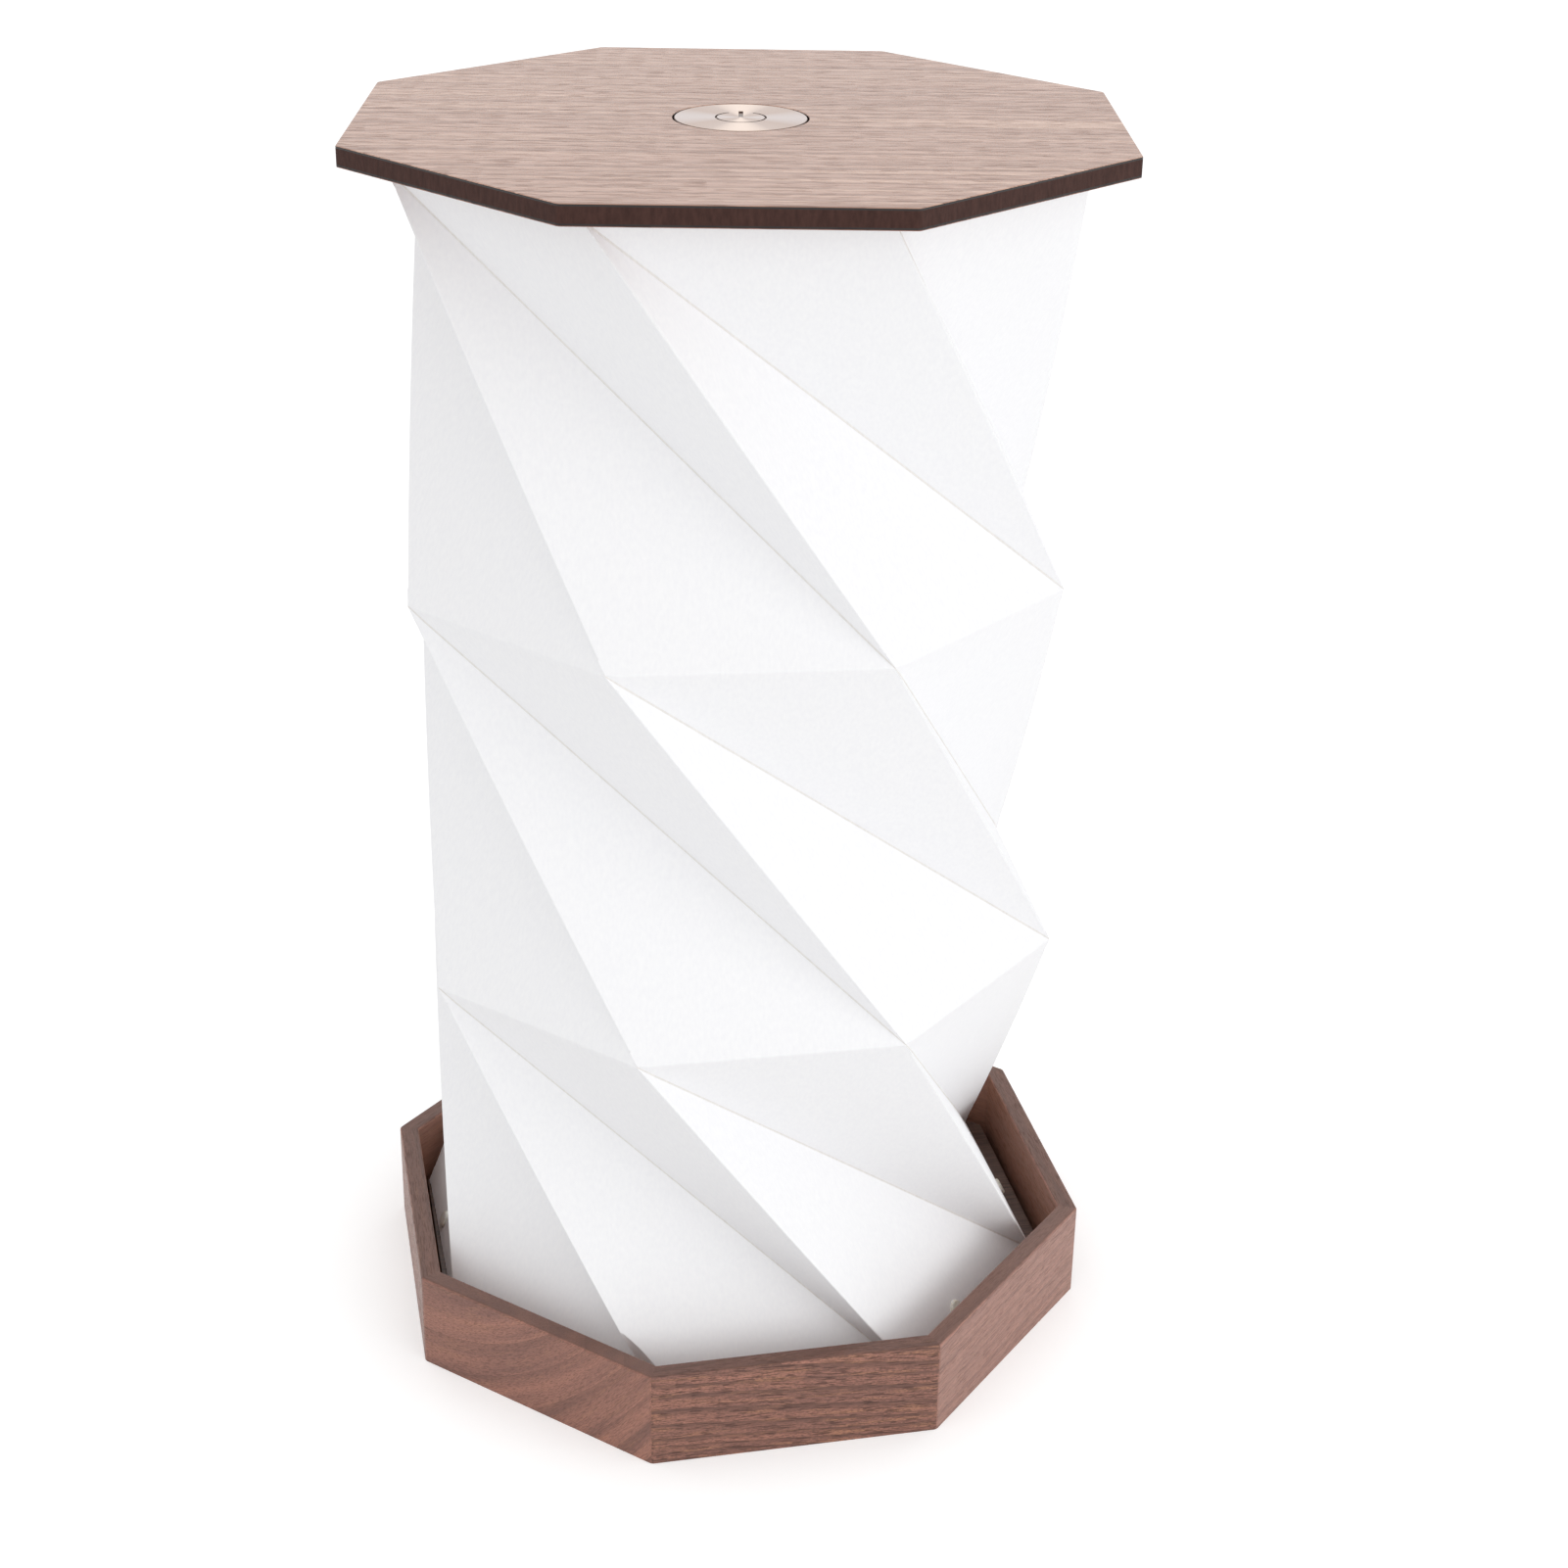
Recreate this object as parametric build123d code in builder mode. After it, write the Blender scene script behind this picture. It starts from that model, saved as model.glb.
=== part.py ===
from build123d import *
import math
import os

# Folding bedside lamp: a walnut tray, a twist-folded paper shade and a walnut lid with a button.
# The origin is under the middle of the tray, +Z is up and -Y is the front.
# Lengths are in millimetres and angles in degrees.

# Tray and lid: both are the same octagon
SIDES = 8
ACROSS_FLATS = 150.0
LAMP_HEIGHT = 266.0
TRAY_HEIGHT = 22.3
RIM_WALL = 4.3
CORNER_ROUND = 1.5
EDGE_ROUND = 0.6
LID_CORE_THICK = 3.0
VENEER_THICK = 0.5
VENEER_EDGE_ROUND = 0.25
LID_TURN = -11.0

# Bottom of the tray
PAD_THICK = 1.0
PAD_INSET = 2.0
FLOOR_THICK = 1.5
PLATE_THICK = 1.5
PLATE_GAP = 1.6

# Cover plate fixings
COVER_SCREWS = 3
COVER_SCREW_START = 172.0
COVER_SCREW_INSET = 4.6
COVER_SCREW_DIA = 3.0
COVER_SCREW_LENGTH = 5.0
COVER_HEAD_DIA = 6.0
STANDOFF_DIA = 6.0
RECESS_LENGTH = 3.2
RECESS_WIDTH = 0.7
RECESS_DEPTH = 0.8
SCREW_CLEARANCE = 0.1

# Battery and charging board
BATTERY_LENGTH = 60.0
BATTERY_WIDTH = 36.0
BATTERY_Y = -30.0
BATTERY_ROUND = 0.8
BATTERY_ROOM = 0.5
BOARD_WIDTH = 22.0
BOARD_LENGTH = 18.0
BOARD_THICK = 0.6
BOARD_GAP = 0.2
CHIP_SIZE = 4.0
CHIP_HEIGHT = 0.9
CHIP_GAP = 3.0
CHIPS = 3
PORT_WIDTH = 8.94
PORT_HEIGHT = 3.26
PORT_WALL = 0.3
PORT_ON_BOARD = 3.4
PORT_RECESS = 0.3
PORT_ROOM = 0.14
PORT_SLOT_GAP = 0.15
TONGUE_WIDTH = 6.7
TONGUE_THICK = 0.7
TONGUE_RECESS = 0.6
WIRE_DIA = 1.0
BATTERY_WIRE_GAP = 7.0
LED_WIRE_GAP = 1.4
LED_WIRE_BEND = 2.0

# Light on the cover plate
LED_BOARD_DIA = 46.0
LED_BOARD_THICK = 1.6
LED_COUNT = 12
LED_INSET = 8.0
LED_LENGTH = 3.5
LED_WIDTH = 2.8
LED_HEIGHT = 0.8
LED_SCREWS = 3
LED_SCREW_INSET = 3.0
LED_SCREW_DIA = 2.0
LED_HEAD_DIA = 3.8
LED_HEAD_HEIGHT = 1.3
WIRE_HOLE_DIA = 6.0
DIFFUSER_GAP = 1.0
DIFFUSER_WALL = 1.5
DIFFUSER_ROOM = 0.8
DIFFUSER_ROUND = 1.2

# Paper shade: equal tiers of triangles that twist as they fold, on a wider foot
TIERS = 3
SHADE_ROOM = 5.0
FOOT_INSET = 2.0
SHADE_WALL = 0.6
HEM_THICK = 0.5
HEM_WIDTH = 10.0
TOP_BOARD_THICK = 1.0

# Push rivets near the foot of the shade, one in each side
RIVET_DIA = 2.0
RIVET_HEAD_DIA = 3.9
RIVET_HEAD_THICK = 0.8
RIVET_HEAD_ROUND = 0.5
RIVET_TAIL_THICK = 0.4
RIVET_RISE = 3.4
RIVET_OFFSET = 6.0

# Button in the lid
BUTTON_DIA = 26.2
BUTTON_GAP = 0.35
BUTTON_WALL = 1.2
BUTTON_FACE_THICK = 1.6
BUTTON_EDGE_ROUND = 0.3
BUTTON_FLANGE_WIDTH = 1.5
BUTTON_FLANGE_THICK = 0.8
BUTTON_STOP_GAP = 0.1
BUTTON_TRAVEL = 0.6
STEM_DIA = 4.6
STEM_LENGTH = 3.0
SYMBOL_DIA = 9.8
SYMBOL_LINE = 0.4
SYMBOL_GAP_ANGLE = 58.0
SYMBOL_BAR_WIDTH = 0.9
SYMBOL_BAR_LENGTH = 5.6
SYMBOL_BAR_START = 0.2
SYMBOL_DEPTH = 0.25

# Switch under the button
HOUSING_WALL = 1.5
HOUSING_FLOOR = 1.2
HOUSING_ROOM = 4.5
HOUSING_FLANGE_WIDTH = 5.5
HOUSING_FLANGE_THICK = 1.5
LEDGE_WIDTH = 2.5
LEDGE_ROOM = 0.4
SWITCH_BOARD_THICK = 1.0
SWITCH_BOARD_GAP = 0.2
SWITCH_WIDTH = 6.2
SWITCH_FLOOR = 0.7
PLUNGER_DIA = 3.4
PLUNGER_GUIDE = 0.6
PLUNGER_GAP = 0.05
PLUNGER_END_GAP = 0.1
HOUSING_SCREWS = 3
HOUSING_SCREW_DIA = 2.2
HOUSING_SCREW_LENGTH = 4.0
HOUSING_HEAD_DIA = 4.2
HOUSING_HEAD_HEIGHT = 1.4
BOARD_HOLE_GAP = 1.0

# Lead from the switch to the light, through a grommet at each end
LEAD_DIA = 2.0
LEAD_GAP = 0.1
LEAD_TAIL = 0.4
GROMMET_WALL = 1.2
GROMMET_LIP = 1.0
GROMMET_LIP_THICK = 0.6
GROMMET_GAP = 0.05

os.makedirs("parts", exist_ok=True)

# Plan sizes that several pieces share
half_corner = 180 / SIDES
rim_flat = ACROSS_FLATS / 2
inner_flat = rim_flat - RIM_WALL
plate_flat = inner_flat - PLATE_GAP
shade_radius = inner_flat / math.cos(math.radians(half_corner)) - SHADE_ROOM
foot_radius = plate_flat / math.cos(math.radians(half_corner)) - FOOT_INSET
cover_screw_circle = plate_flat - COVER_SCREW_INSET
button_hole_radius = BUTTON_DIA / 2 + BUTTON_GAP
button_flange_radius = BUTTON_DIA / 2 + BUTTON_FLANGE_WIDTH
housing_inner_radius = button_flange_radius + HOUSING_ROOM
housing_radius = housing_inner_radius + HOUSING_WALL
housing_flange_radius = housing_radius + HOUSING_FLANGE_WIDTH
housing_screw_circle = housing_radius + HOUSING_FLANGE_WIDTH / 2
led_circle = LED_BOARD_DIA / 2 - LED_INSET
led_screw_circle = LED_BOARD_DIA / 2 - LED_SCREW_INSET
diffuser_inner_radius = LED_BOARD_DIA / 2 + DIFFUSER_GAP
diffuser_radius = diffuser_inner_radius + DIFFUSER_WALL
lead_bore_radius = LEAD_DIA / 2 + LEAD_GAP
grommet_radius = lead_bore_radius + GROMMET_WALL
grommet_lip_radius = grommet_radius + GROMMET_LIP
grommet_hole_radius = grommet_radius + GROMMET_GAP

# Heights, from the table up
floor_top = PAD_THICK + FLOOR_THICK
board_top = floor_top + BOARD_THICK
port_middle = board_top + PORT_HEIGHT / 2
plate_base = board_top + PORT_HEIGHT + PORT_ROOM
plate_top = plate_base + PLATE_THICK
led_board_top = plate_top + LED_BOARD_THICK
led_screw_top = led_board_top + LED_HEAD_HEIGHT
diffuser_ceiling = led_screw_top + DIFFUSER_ROOM
diffuser_top = diffuser_ceiling + DIFFUSER_WALL
shade_foot = plate_top + HEM_THICK

# Heights, from the top of the lid down
core_top = LAMP_HEIGHT - VENEER_THICK
core_base = core_top - LID_CORE_THICK
lid_base = core_base - VENEER_THICK
top_board_base = lid_base - TOP_BOARD_THICK
shade_head = top_board_base - HEM_THICK
button_flange_top = lid_base - BUTTON_STOP_GAP
button_flange_base = button_flange_top - BUTTON_FLANGE_THICK
button_ceiling = LAMP_HEIGHT - BUTTON_FACE_THICK
plunger_top = button_ceiling - STEM_LENGTH
switch_top = plunger_top - BUTTON_TRAVEL - PLUNGER_END_GAP
plunger_end = switch_top - PLUNGER_GUIDE
plunger_bore_end = plunger_end - BUTTON_TRAVEL - PLUNGER_END_GAP
switch_base = plunger_bore_end - SWITCH_FLOOR
switch_board_base = switch_base - SWITCH_BOARD_THICK
housing_floor_top = switch_board_base - GROMMET_LIP_THICK - LEDGE_ROOM
housing_base = housing_floor_top - HOUSING_FLOOR
housing_flange_base = lid_base - HOUSING_FLANGE_THICK

# The lid stands turned on the tray, as the open shade holds it
lid_plane = Plane.XY.rotated((0, 0, LID_TURN))


# Pad: felt under the tray, level with the bottom of the rim
with BuildPart() as base_pad:
    with BuildSketch():
        RegularPolygon(inner_flat - PAD_INSET, SIDES, major_radius=False, rotation=half_corner)
    extrude(amount=PAD_THICK)
base_pad.part.label = "base_pad"
export_step(base_pad.part, "parts/base_pad.step")

# Floor: thin board glued between the rim strips
with BuildPart() as tray_floor:
    with BuildSketch(Plane.XY.offset(PAD_THICK)):
        RegularPolygon(inner_flat, SIDES, major_radius=False, rotation=half_corner)
    extrude(amount=FLOOR_THICK)
tray_floor.part.label = "tray_floor"
export_step(tray_floor.part, "parts/tray_floor.step")

# Rim: eight strips, shaped here as one ring and then parted at the mitres
with BuildPart() as rim_ring:
    with BuildSketch() as rim_plan:
        RegularPolygon(rim_flat, SIDES, major_radius=False, rotation=half_corner)
        fillet(rim_plan.vertices(), CORNER_ROUND)
        RegularPolygon(inner_flat, SIDES, major_radius=False, rotation=half_corner, mode=Mode.SUBTRACT)
    extrude(amount=TRAY_HEIGHT)
    fillet(rim_ring.faces().sort_by(Axis.Z)[-1].edges(), EDGE_ROUND)

rim_strips = (
    "rim_right",
    "rim_rear_right",
    "rim_rear",
    "rim_rear_left",
    "rim_left",
    "rim_front_left",
    "rim_front",
    "rim_front_right",
)
mitre_half_width = ACROSS_FLATS * math.tan(math.radians(half_corner))
for number, strip_name in enumerate(rim_strips):
    strip_turn = number * 360 / SIDES
    with BuildPart() as rim_strip:
        add(rim_ring.part)
        with BuildSketch(Plane.XY.rotated((0, 0, strip_turn))):
            Polygon(
                (0, 0),
                (ACROSS_FLATS, -mitre_half_width),
                (ACROSS_FLATS, mitre_half_width),
                align=None,
            )
        extrude(amount=TRAY_HEIGHT, mode=Mode.INTERSECT)
        if strip_name == "rim_rear":
            with BuildSketch(Plane.XZ.offset(-rim_flat)):
                with Locations((0, port_middle)):
                    SlotOverall(PORT_WIDTH + 2 * PORT_SLOT_GAP, PORT_HEIGHT + 2 * PORT_SLOT_GAP)
            extrude(amount=RIM_WALL, mode=Mode.SUBTRACT)
    rim_strip.part.label = strip_name
    export_step(rim_strip.part, f"parts/{strip_name}.step")

# Cover plate: painted steel over the battery, held by countersunk screws
with BuildPart() as cover_plate:
    with BuildSketch(Plane.XY.offset(plate_base)):
        RegularPolygon(plate_flat, SIDES, major_radius=False, rotation=half_corner)
        Circle(WIRE_HOLE_DIA / 2, mode=Mode.SUBTRACT)
        with PolarLocations(led_screw_circle, LED_SCREWS):
            Circle(LED_SCREW_DIA / 2 + SCREW_CLEARANCE, mode=Mode.SUBTRACT)
    extrude(amount=PLATE_THICK)
    with Locations(Plane.XY.offset(plate_top)):
        with PolarLocations(cover_screw_circle, COVER_SCREWS, start_angle=COVER_SCREW_START):
            CounterSinkHole(
                radius=COVER_SCREW_DIA / 2 + SCREW_CLEARANCE,
                counter_sink_radius=COVER_HEAD_DIA / 2 + SCREW_CLEARANCE,
                counter_sink_angle=90,
            )
cover_plate.part.label = "cover_plate"
export_step(cover_plate.part, "parts/cover_plate.step")

# Standoffs: short tubes between the floor and the cover plate
with BuildPart() as cover_standoffs:
    with BuildSketch(Plane.XY.offset(floor_top)):
        with PolarLocations(cover_screw_circle, COVER_SCREWS, start_angle=COVER_SCREW_START):
            Circle(STANDOFF_DIA / 2)
            Circle(COVER_SCREW_DIA / 2 + SCREW_CLEARANCE, mode=Mode.SUBTRACT)
    extrude(amount=plate_base - floor_top)
cover_standoffs.part.label = "cover_standoffs"
export_step(cover_standoffs.part, "parts/cover_standoffs.step")

# Cover screws: countersunk, with a cross recess, flush with the plate
cover_head_depth = (COVER_HEAD_DIA - COVER_SCREW_DIA) / 2
with BuildPart() as cover_screws:
    with BuildSketch(Plane.XY.offset(plate_top)):
        with PolarLocations(cover_screw_circle, COVER_SCREWS, start_angle=COVER_SCREW_START):
            Circle(COVER_HEAD_DIA / 2)
    extrude(amount=-cover_head_depth, taper=45)
    with BuildSketch(Plane.XY.offset(plate_top - COVER_SCREW_LENGTH)):
        with PolarLocations(cover_screw_circle, COVER_SCREWS, start_angle=COVER_SCREW_START):
            Circle(COVER_SCREW_DIA / 2)
    extrude(amount=COVER_SCREW_LENGTH - cover_head_depth)
    with BuildSketch(Plane.XY.offset(plate_top)):
        with PolarLocations(cover_screw_circle, COVER_SCREWS, start_angle=COVER_SCREW_START):
            Rectangle(RECESS_LENGTH, RECESS_WIDTH)
            Rectangle(RECESS_WIDTH, RECESS_LENGTH)
    extrude(amount=-RECESS_DEPTH, mode=Mode.SUBTRACT)
cover_screws.part.label = "cover_screws"
export_step(cover_screws.part, "parts/cover_screws.step")

# Battery: flat pouch cell on the floor, under the cover plate
with BuildPart() as battery:
    with BuildSketch(Plane.XY.offset(floor_top)):
        with Locations((0, BATTERY_Y)):
            Rectangle(BATTERY_LENGTH, BATTERY_WIDTH)
    extrude(amount=plate_base - floor_top - BATTERY_ROOM)
    fillet(battery.edges(), BATTERY_ROUND)
battery.part.label = "battery"
export_step(battery.part, "parts/battery.step")

# Charging board: flat on the floor, behind the rear strip
board_back = inner_flat - BOARD_GAP
board_front = board_back - BOARD_LENGTH
with BuildPart() as charge_board:
    with BuildSketch(Plane.XY.offset(floor_top)):
        with Locations((0, board_back)):
            Rectangle(BOARD_WIDTH, BOARD_LENGTH, align=(Align.CENTER, Align.MAX))
    extrude(amount=BOARD_THICK)
charge_board.part.label = "charge_board"
export_step(charge_board.part, "parts/charge_board.step")

# Chips on the charging board, in a row towards its front
with BuildPart() as board_chips:
    with BuildSketch(Plane.XY.offset(board_top)):
        with Locations((0, board_front + CHIP_SIZE)):
            with GridLocations(CHIP_SIZE + CHIP_GAP, CHIP_SIZE, CHIPS, 1):
                Rectangle(CHIP_SIZE, CHIP_SIZE)
    extrude(amount=CHIP_HEIGHT)
board_chips.part.label = "board_chips"
export_step(board_chips.part, "parts/board_chips.step")

# Charging port: pressed metal shell through the slot in the rear strip
port_mouth = rim_flat - PORT_RECESS
port_length = RIM_WALL - PORT_RECESS + BOARD_GAP + PORT_ON_BOARD
with BuildPart() as charge_port:
    with BuildSketch(Plane.XZ.offset(-port_mouth)):
        with Locations((0, port_middle)):
            SlotOverall(PORT_WIDTH, PORT_HEIGHT)
    extrude(amount=port_length)
    with BuildSketch(Plane.XZ.offset(-port_mouth)):
        with Locations((0, port_middle)):
            SlotOverall(PORT_WIDTH - 2 * PORT_WALL, PORT_HEIGHT - 2 * PORT_WALL)
    extrude(amount=port_length - PORT_WALL, mode=Mode.SUBTRACT)
charge_port.part.label = "charge_port"
export_step(charge_port.part, "parts/charge_port.step")

# Contact tongue in the port, on the shell's back wall
with BuildPart() as port_tongue:
    with BuildSketch(Plane.XZ.offset(-port_mouth + TONGUE_RECESS)):
        with Locations((0, port_middle)):
            Rectangle(TONGUE_WIDTH, TONGUE_THICK)
    extrude(amount=port_length - PORT_WALL - TONGUE_RECESS)
port_tongue.part.label = "port_tongue"
export_step(port_tongue.part, "parts/port_tongue.step")

# Battery wires: a pair along the floor from the cell to the charging board
wire_height = floor_top + WIRE_DIA / 2
battery_back = BATTERY_Y + BATTERY_WIDTH / 2
with BuildPart() as battery_wires:
    with BuildSketch(Plane.XZ.offset(-board_front)):
        with Locations((0, wire_height)):
            with GridLocations(BATTERY_WIRE_GAP + WIRE_DIA, WIRE_DIA, 2, 1):
                Circle(WIRE_DIA / 2)
    extrude(amount=board_front - battery_back)
battery_wires.part.label = "battery_wires"
export_step(battery_wires.part, "parts/battery_wires.step")

# Light wires: a pair along the floor that turns up through the plate to the light board
led_wire_offset = (LED_WIRE_GAP + WIRE_DIA) / 2
with BuildPart() as led_wires:
    for wire_x in (-led_wire_offset, led_wire_offset):
        with BuildLine() as wire_route:
            FilletPolyline(
                (wire_x, board_front, wire_height),
                (wire_x, 0, wire_height),
                (wire_x, 0, plate_top),
                radius=LED_WIRE_BEND,
            )
        with BuildSketch(Plane.XZ.offset(-board_front)):
            with Locations((wire_x, wire_height)):
                Circle(WIRE_DIA / 2)
        sweep(path=wire_route.line)
led_wires.part.label = "led_wires"
export_step(led_wires.part, "parts/led_wires.step")

# Light board: round board on the cover plate
with BuildPart() as led_board:
    with BuildSketch(Plane.XY.offset(plate_top)):
        Circle(LED_BOARD_DIA / 2)
        with PolarLocations(led_screw_circle, LED_SCREWS):
            Circle(LED_SCREW_DIA / 2 + SCREW_CLEARANCE, mode=Mode.SUBTRACT)
    extrude(amount=LED_BOARD_THICK)
led_board.part.label = "led_board"
export_step(led_board.part, "parts/led_board.step")

# Light-emitting diodes: a ring of small packages on the light board
with BuildPart() as leds:
    with BuildSketch(Plane.XY.offset(led_board_top)):
        with PolarLocations(led_circle, LED_COUNT):
            Rectangle(LED_WIDTH, LED_LENGTH)
    extrude(amount=LED_HEIGHT)
leds.part.label = "leds"
export_step(leds.part, "parts/leds.step")

# Light board screws: pan heads, tapped into the cover plate
with BuildPart() as led_screws:
    with BuildSketch(Plane.XY.offset(plate_base)):
        with PolarLocations(led_screw_circle, LED_SCREWS):
            Circle(LED_SCREW_DIA / 2)
    extrude(amount=led_board_top - plate_base)
    with BuildSketch(Plane.XY.offset(led_board_top)):
        with PolarLocations(led_screw_circle, LED_SCREWS):
            Circle(LED_HEAD_DIA / 2)
    extrude(amount=LED_HEAD_HEIGHT)
led_screws.part.label = "led_screws"
export_step(led_screws.part, "parts/led_screws.step")

# Diffuser: opal cap over the light board, standing on the cover plate
with BuildPart() as led_diffuser:
    with BuildSketch(Plane.XY.offset(plate_top)):
        Circle(diffuser_radius)
    extrude(amount=diffuser_top - plate_top)
    fillet(led_diffuser.edges().group_by(Axis.Z)[-1], DIFFUSER_ROUND)
    with BuildSketch(Plane.XY.offset(plate_top)):
        Circle(diffuser_inner_radius)
    extrude(amount=diffuser_ceiling - plate_top, mode=Mode.SUBTRACT)
    with BuildSketch(Plane.XY.offset(diffuser_top)):
        Circle(grommet_hole_radius)
    extrude(amount=-DIFFUSER_WALL, mode=Mode.SUBTRACT)
led_diffuser.part.label = "led_diffuser"
export_step(led_diffuser.part, "parts/led_diffuser.step")

# Lower grommet: rubber, in the hole of the diffuser
with BuildPart() as lower_grommet:
    with BuildSketch(Plane.XY.offset(diffuser_ceiling - GROMMET_LIP_THICK)):
        Circle(grommet_lip_radius)
    extrude(amount=GROMMET_LIP_THICK)
    with BuildSketch(Plane.XY.offset(diffuser_ceiling)):
        Circle(grommet_radius)
    extrude(amount=DIFFUSER_WALL)
    with BuildSketch(Plane.XY.offset(diffuser_top)):
        Circle(grommet_lip_radius)
    extrude(amount=GROMMET_LIP_THICK)
    with Locations(lower_grommet.faces().sort_by(Axis.Z)[-1]):
        Hole(lead_bore_radius)
lower_grommet.part.label = "lower_grommet"
export_step(lower_grommet.part, "parts/lower_grommet.step")


def fold_ring(level, inset):
    """Corners of one fold ring of the shade, counted up from its foot."""
    radius = (shade_radius if level else foot_radius) - inset
    height = shade_foot + level * (shade_head - shade_foot) / TIERS
    start = half_corner + level * LID_TURN / TIERS
    turns = [math.radians(start + corner * 360 / SIDES) for corner in range(SIDES)]
    return [Vector(radius * math.cos(turn), radius * math.sin(turn), height) for turn in turns]


def folded_body(inset):
    """Closed body inside the folded sheet: a steep and a slanting triangle for each side of a tier."""
    rings = [fold_ring(level, inset) for level in range(TIERS + 1)]
    panels = [Face(Wire.make_polygon(ring)) for ring in (rings[0], rings[-1])]
    for lower, upper in zip(rings, rings[1:]):
        for corner in range(SIDES):
            following = (corner + 1) % SIDES
            ahead = (corner + 2) % SIDES
            panels.append(Face(Wire.make_polygon([upper[corner], lower[following], lower[ahead]])))
            panels.append(Face(Wire.make_polygon([upper[corner], lower[ahead], upper[following]])))
    return Solid(Shell(panels))


def rivet_plane(side):
    """Seat of a rivet on one side of the lowest tier, facing out of the paper."""
    foot = fold_ring(0, 0)
    start = foot[(side + 1) % SIDES]
    end = foot[(side + 2) % SIDES]
    along = (end - start).normalized()
    outwards = along.cross(fold_ring(1, 0)[side] - start).normalized()
    seat = (start + end) / 2 - along * RIVET_OFFSET + outwards.cross(along) * RIVET_RISE
    return Plane(seat, x_dir=along, z_dir=outwards)


# Shade: one folded sheet of paper, with a hem glued to the plate and one to the lid
rivet_planes = [rivet_plane(side) for side in range(SIDES)]
head_turn = half_corner + LID_TURN
hems = ((plate_top, foot_radius, half_corner), (shade_head, shade_radius, head_turn))
with BuildPart() as folded_shade:
    add(folded_body(0))
    add(folded_body(SHADE_WALL), mode=Mode.SUBTRACT)
    for hem_base, hem_radius, hem_turn in hems:
        with BuildSketch(Plane.XY.offset(hem_base)):
            RegularPolygon(hem_radius, SIDES, rotation=hem_turn)
            RegularPolygon(hem_radius - HEM_WIDTH, SIDES, rotation=hem_turn, mode=Mode.SUBTRACT)
        extrude(amount=HEM_THICK)
    with Locations(*rivet_planes):
        Hole(RIVET_DIA / 2 + SCREW_CLEARANCE, depth=2 * SHADE_WALL)
folded_shade.part.label = "folded_shade"
export_step(folded_shade.part, "parts/folded_shade.step")

# Foot rivets: pale plastic, with a rounded head on the paper and a flat tail behind it
with BuildPart() as rivet:
    with BuildSketch():
        Circle(RIVET_HEAD_DIA / 2)
    extrude(amount=RIVET_HEAD_THICK)
    fillet(rivet.edges().group_by(Axis.Z)[-1], RIVET_HEAD_ROUND)
    with BuildSketch():
        Circle(RIVET_DIA / 2)
    extrude(amount=-SHADE_WALL)
    with BuildSketch(Plane.XY.offset(-SHADE_WALL)):
        Circle(RIVET_HEAD_DIA / 2)
    extrude(amount=-RIVET_TAIL_THICK)
with BuildPart() as foot_rivets:
    with Locations(*rivet_planes):
        add(rivet.part)
foot_rivets.part.label = "foot_rivets"
export_step(foot_rivets.part, "parts/foot_rivets.step")

# Shade top board: stiff card between the upper hem and the lid
with BuildPart() as shade_top_board:
    with BuildSketch(Plane.XY.offset(top_board_base)):
        RegularPolygon(shade_radius, SIDES, rotation=head_turn)
        Circle(housing_flange_radius + BOARD_HOLE_GAP, mode=Mode.SUBTRACT)
    extrude(amount=TOP_BOARD_THICK)
shade_top_board.part.label = "shade_top_board"
export_step(shade_top_board.part, "parts/shade_top_board.step")

# Lid: a dyed core between two walnut veneers, with a round hole for the button
screw_hole_radius = HOUSING_SCREW_DIA / 2 + SCREW_CLEARANCE
screw_reach = housing_flange_base + HOUSING_SCREW_LENGTH + SCREW_CLEARANCE
with BuildPart() as lid_veneer_bottom:
    with BuildSketch(lid_plane.offset(lid_base)) as veneer_plan:
        RegularPolygon(rim_flat, SIDES, major_radius=False, rotation=half_corner)
        fillet(veneer_plan.vertices(), CORNER_ROUND)
        Circle(button_hole_radius, mode=Mode.SUBTRACT)
        with PolarLocations(housing_screw_circle, HOUSING_SCREWS):
            Circle(screw_hole_radius, mode=Mode.SUBTRACT)
    extrude(amount=VENEER_THICK)
lid_veneer_bottom.part.label = "lid_veneer_bottom"
export_step(lid_veneer_bottom.part, "parts/lid_veneer_bottom.step")

with BuildPart() as lid_core:
    with BuildSketch(lid_plane.offset(core_base)) as core_plan:
        RegularPolygon(rim_flat, SIDES, major_radius=False, rotation=half_corner)
        fillet(core_plan.vertices(), CORNER_ROUND)
        Circle(button_hole_radius, mode=Mode.SUBTRACT)
    extrude(amount=LID_CORE_THICK)
    with BuildSketch(lid_plane.offset(core_base)):
        with PolarLocations(housing_screw_circle, HOUSING_SCREWS):
            Circle(screw_hole_radius)
    extrude(amount=screw_reach - core_base, mode=Mode.SUBTRACT)
lid_core.part.label = "lid_core"
export_step(lid_core.part, "parts/lid_core.step")

with BuildPart() as lid_veneer_top:
    with BuildSketch(lid_plane.offset(core_top)) as veneer_plan:
        RegularPolygon(rim_flat, SIDES, major_radius=False, rotation=half_corner)
        fillet(veneer_plan.vertices(), CORNER_ROUND)
        Circle(button_hole_radius, mode=Mode.SUBTRACT)
    extrude(amount=VENEER_THICK)
    fillet(lid_veneer_top.faces().sort_by(Axis.Z)[-1].edges(), VENEER_EDGE_ROUND)
lid_veneer_top.part.label = "lid_veneer_top"
export_step(lid_veneer_top.part, "parts/lid_veneer_top.step")

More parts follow.
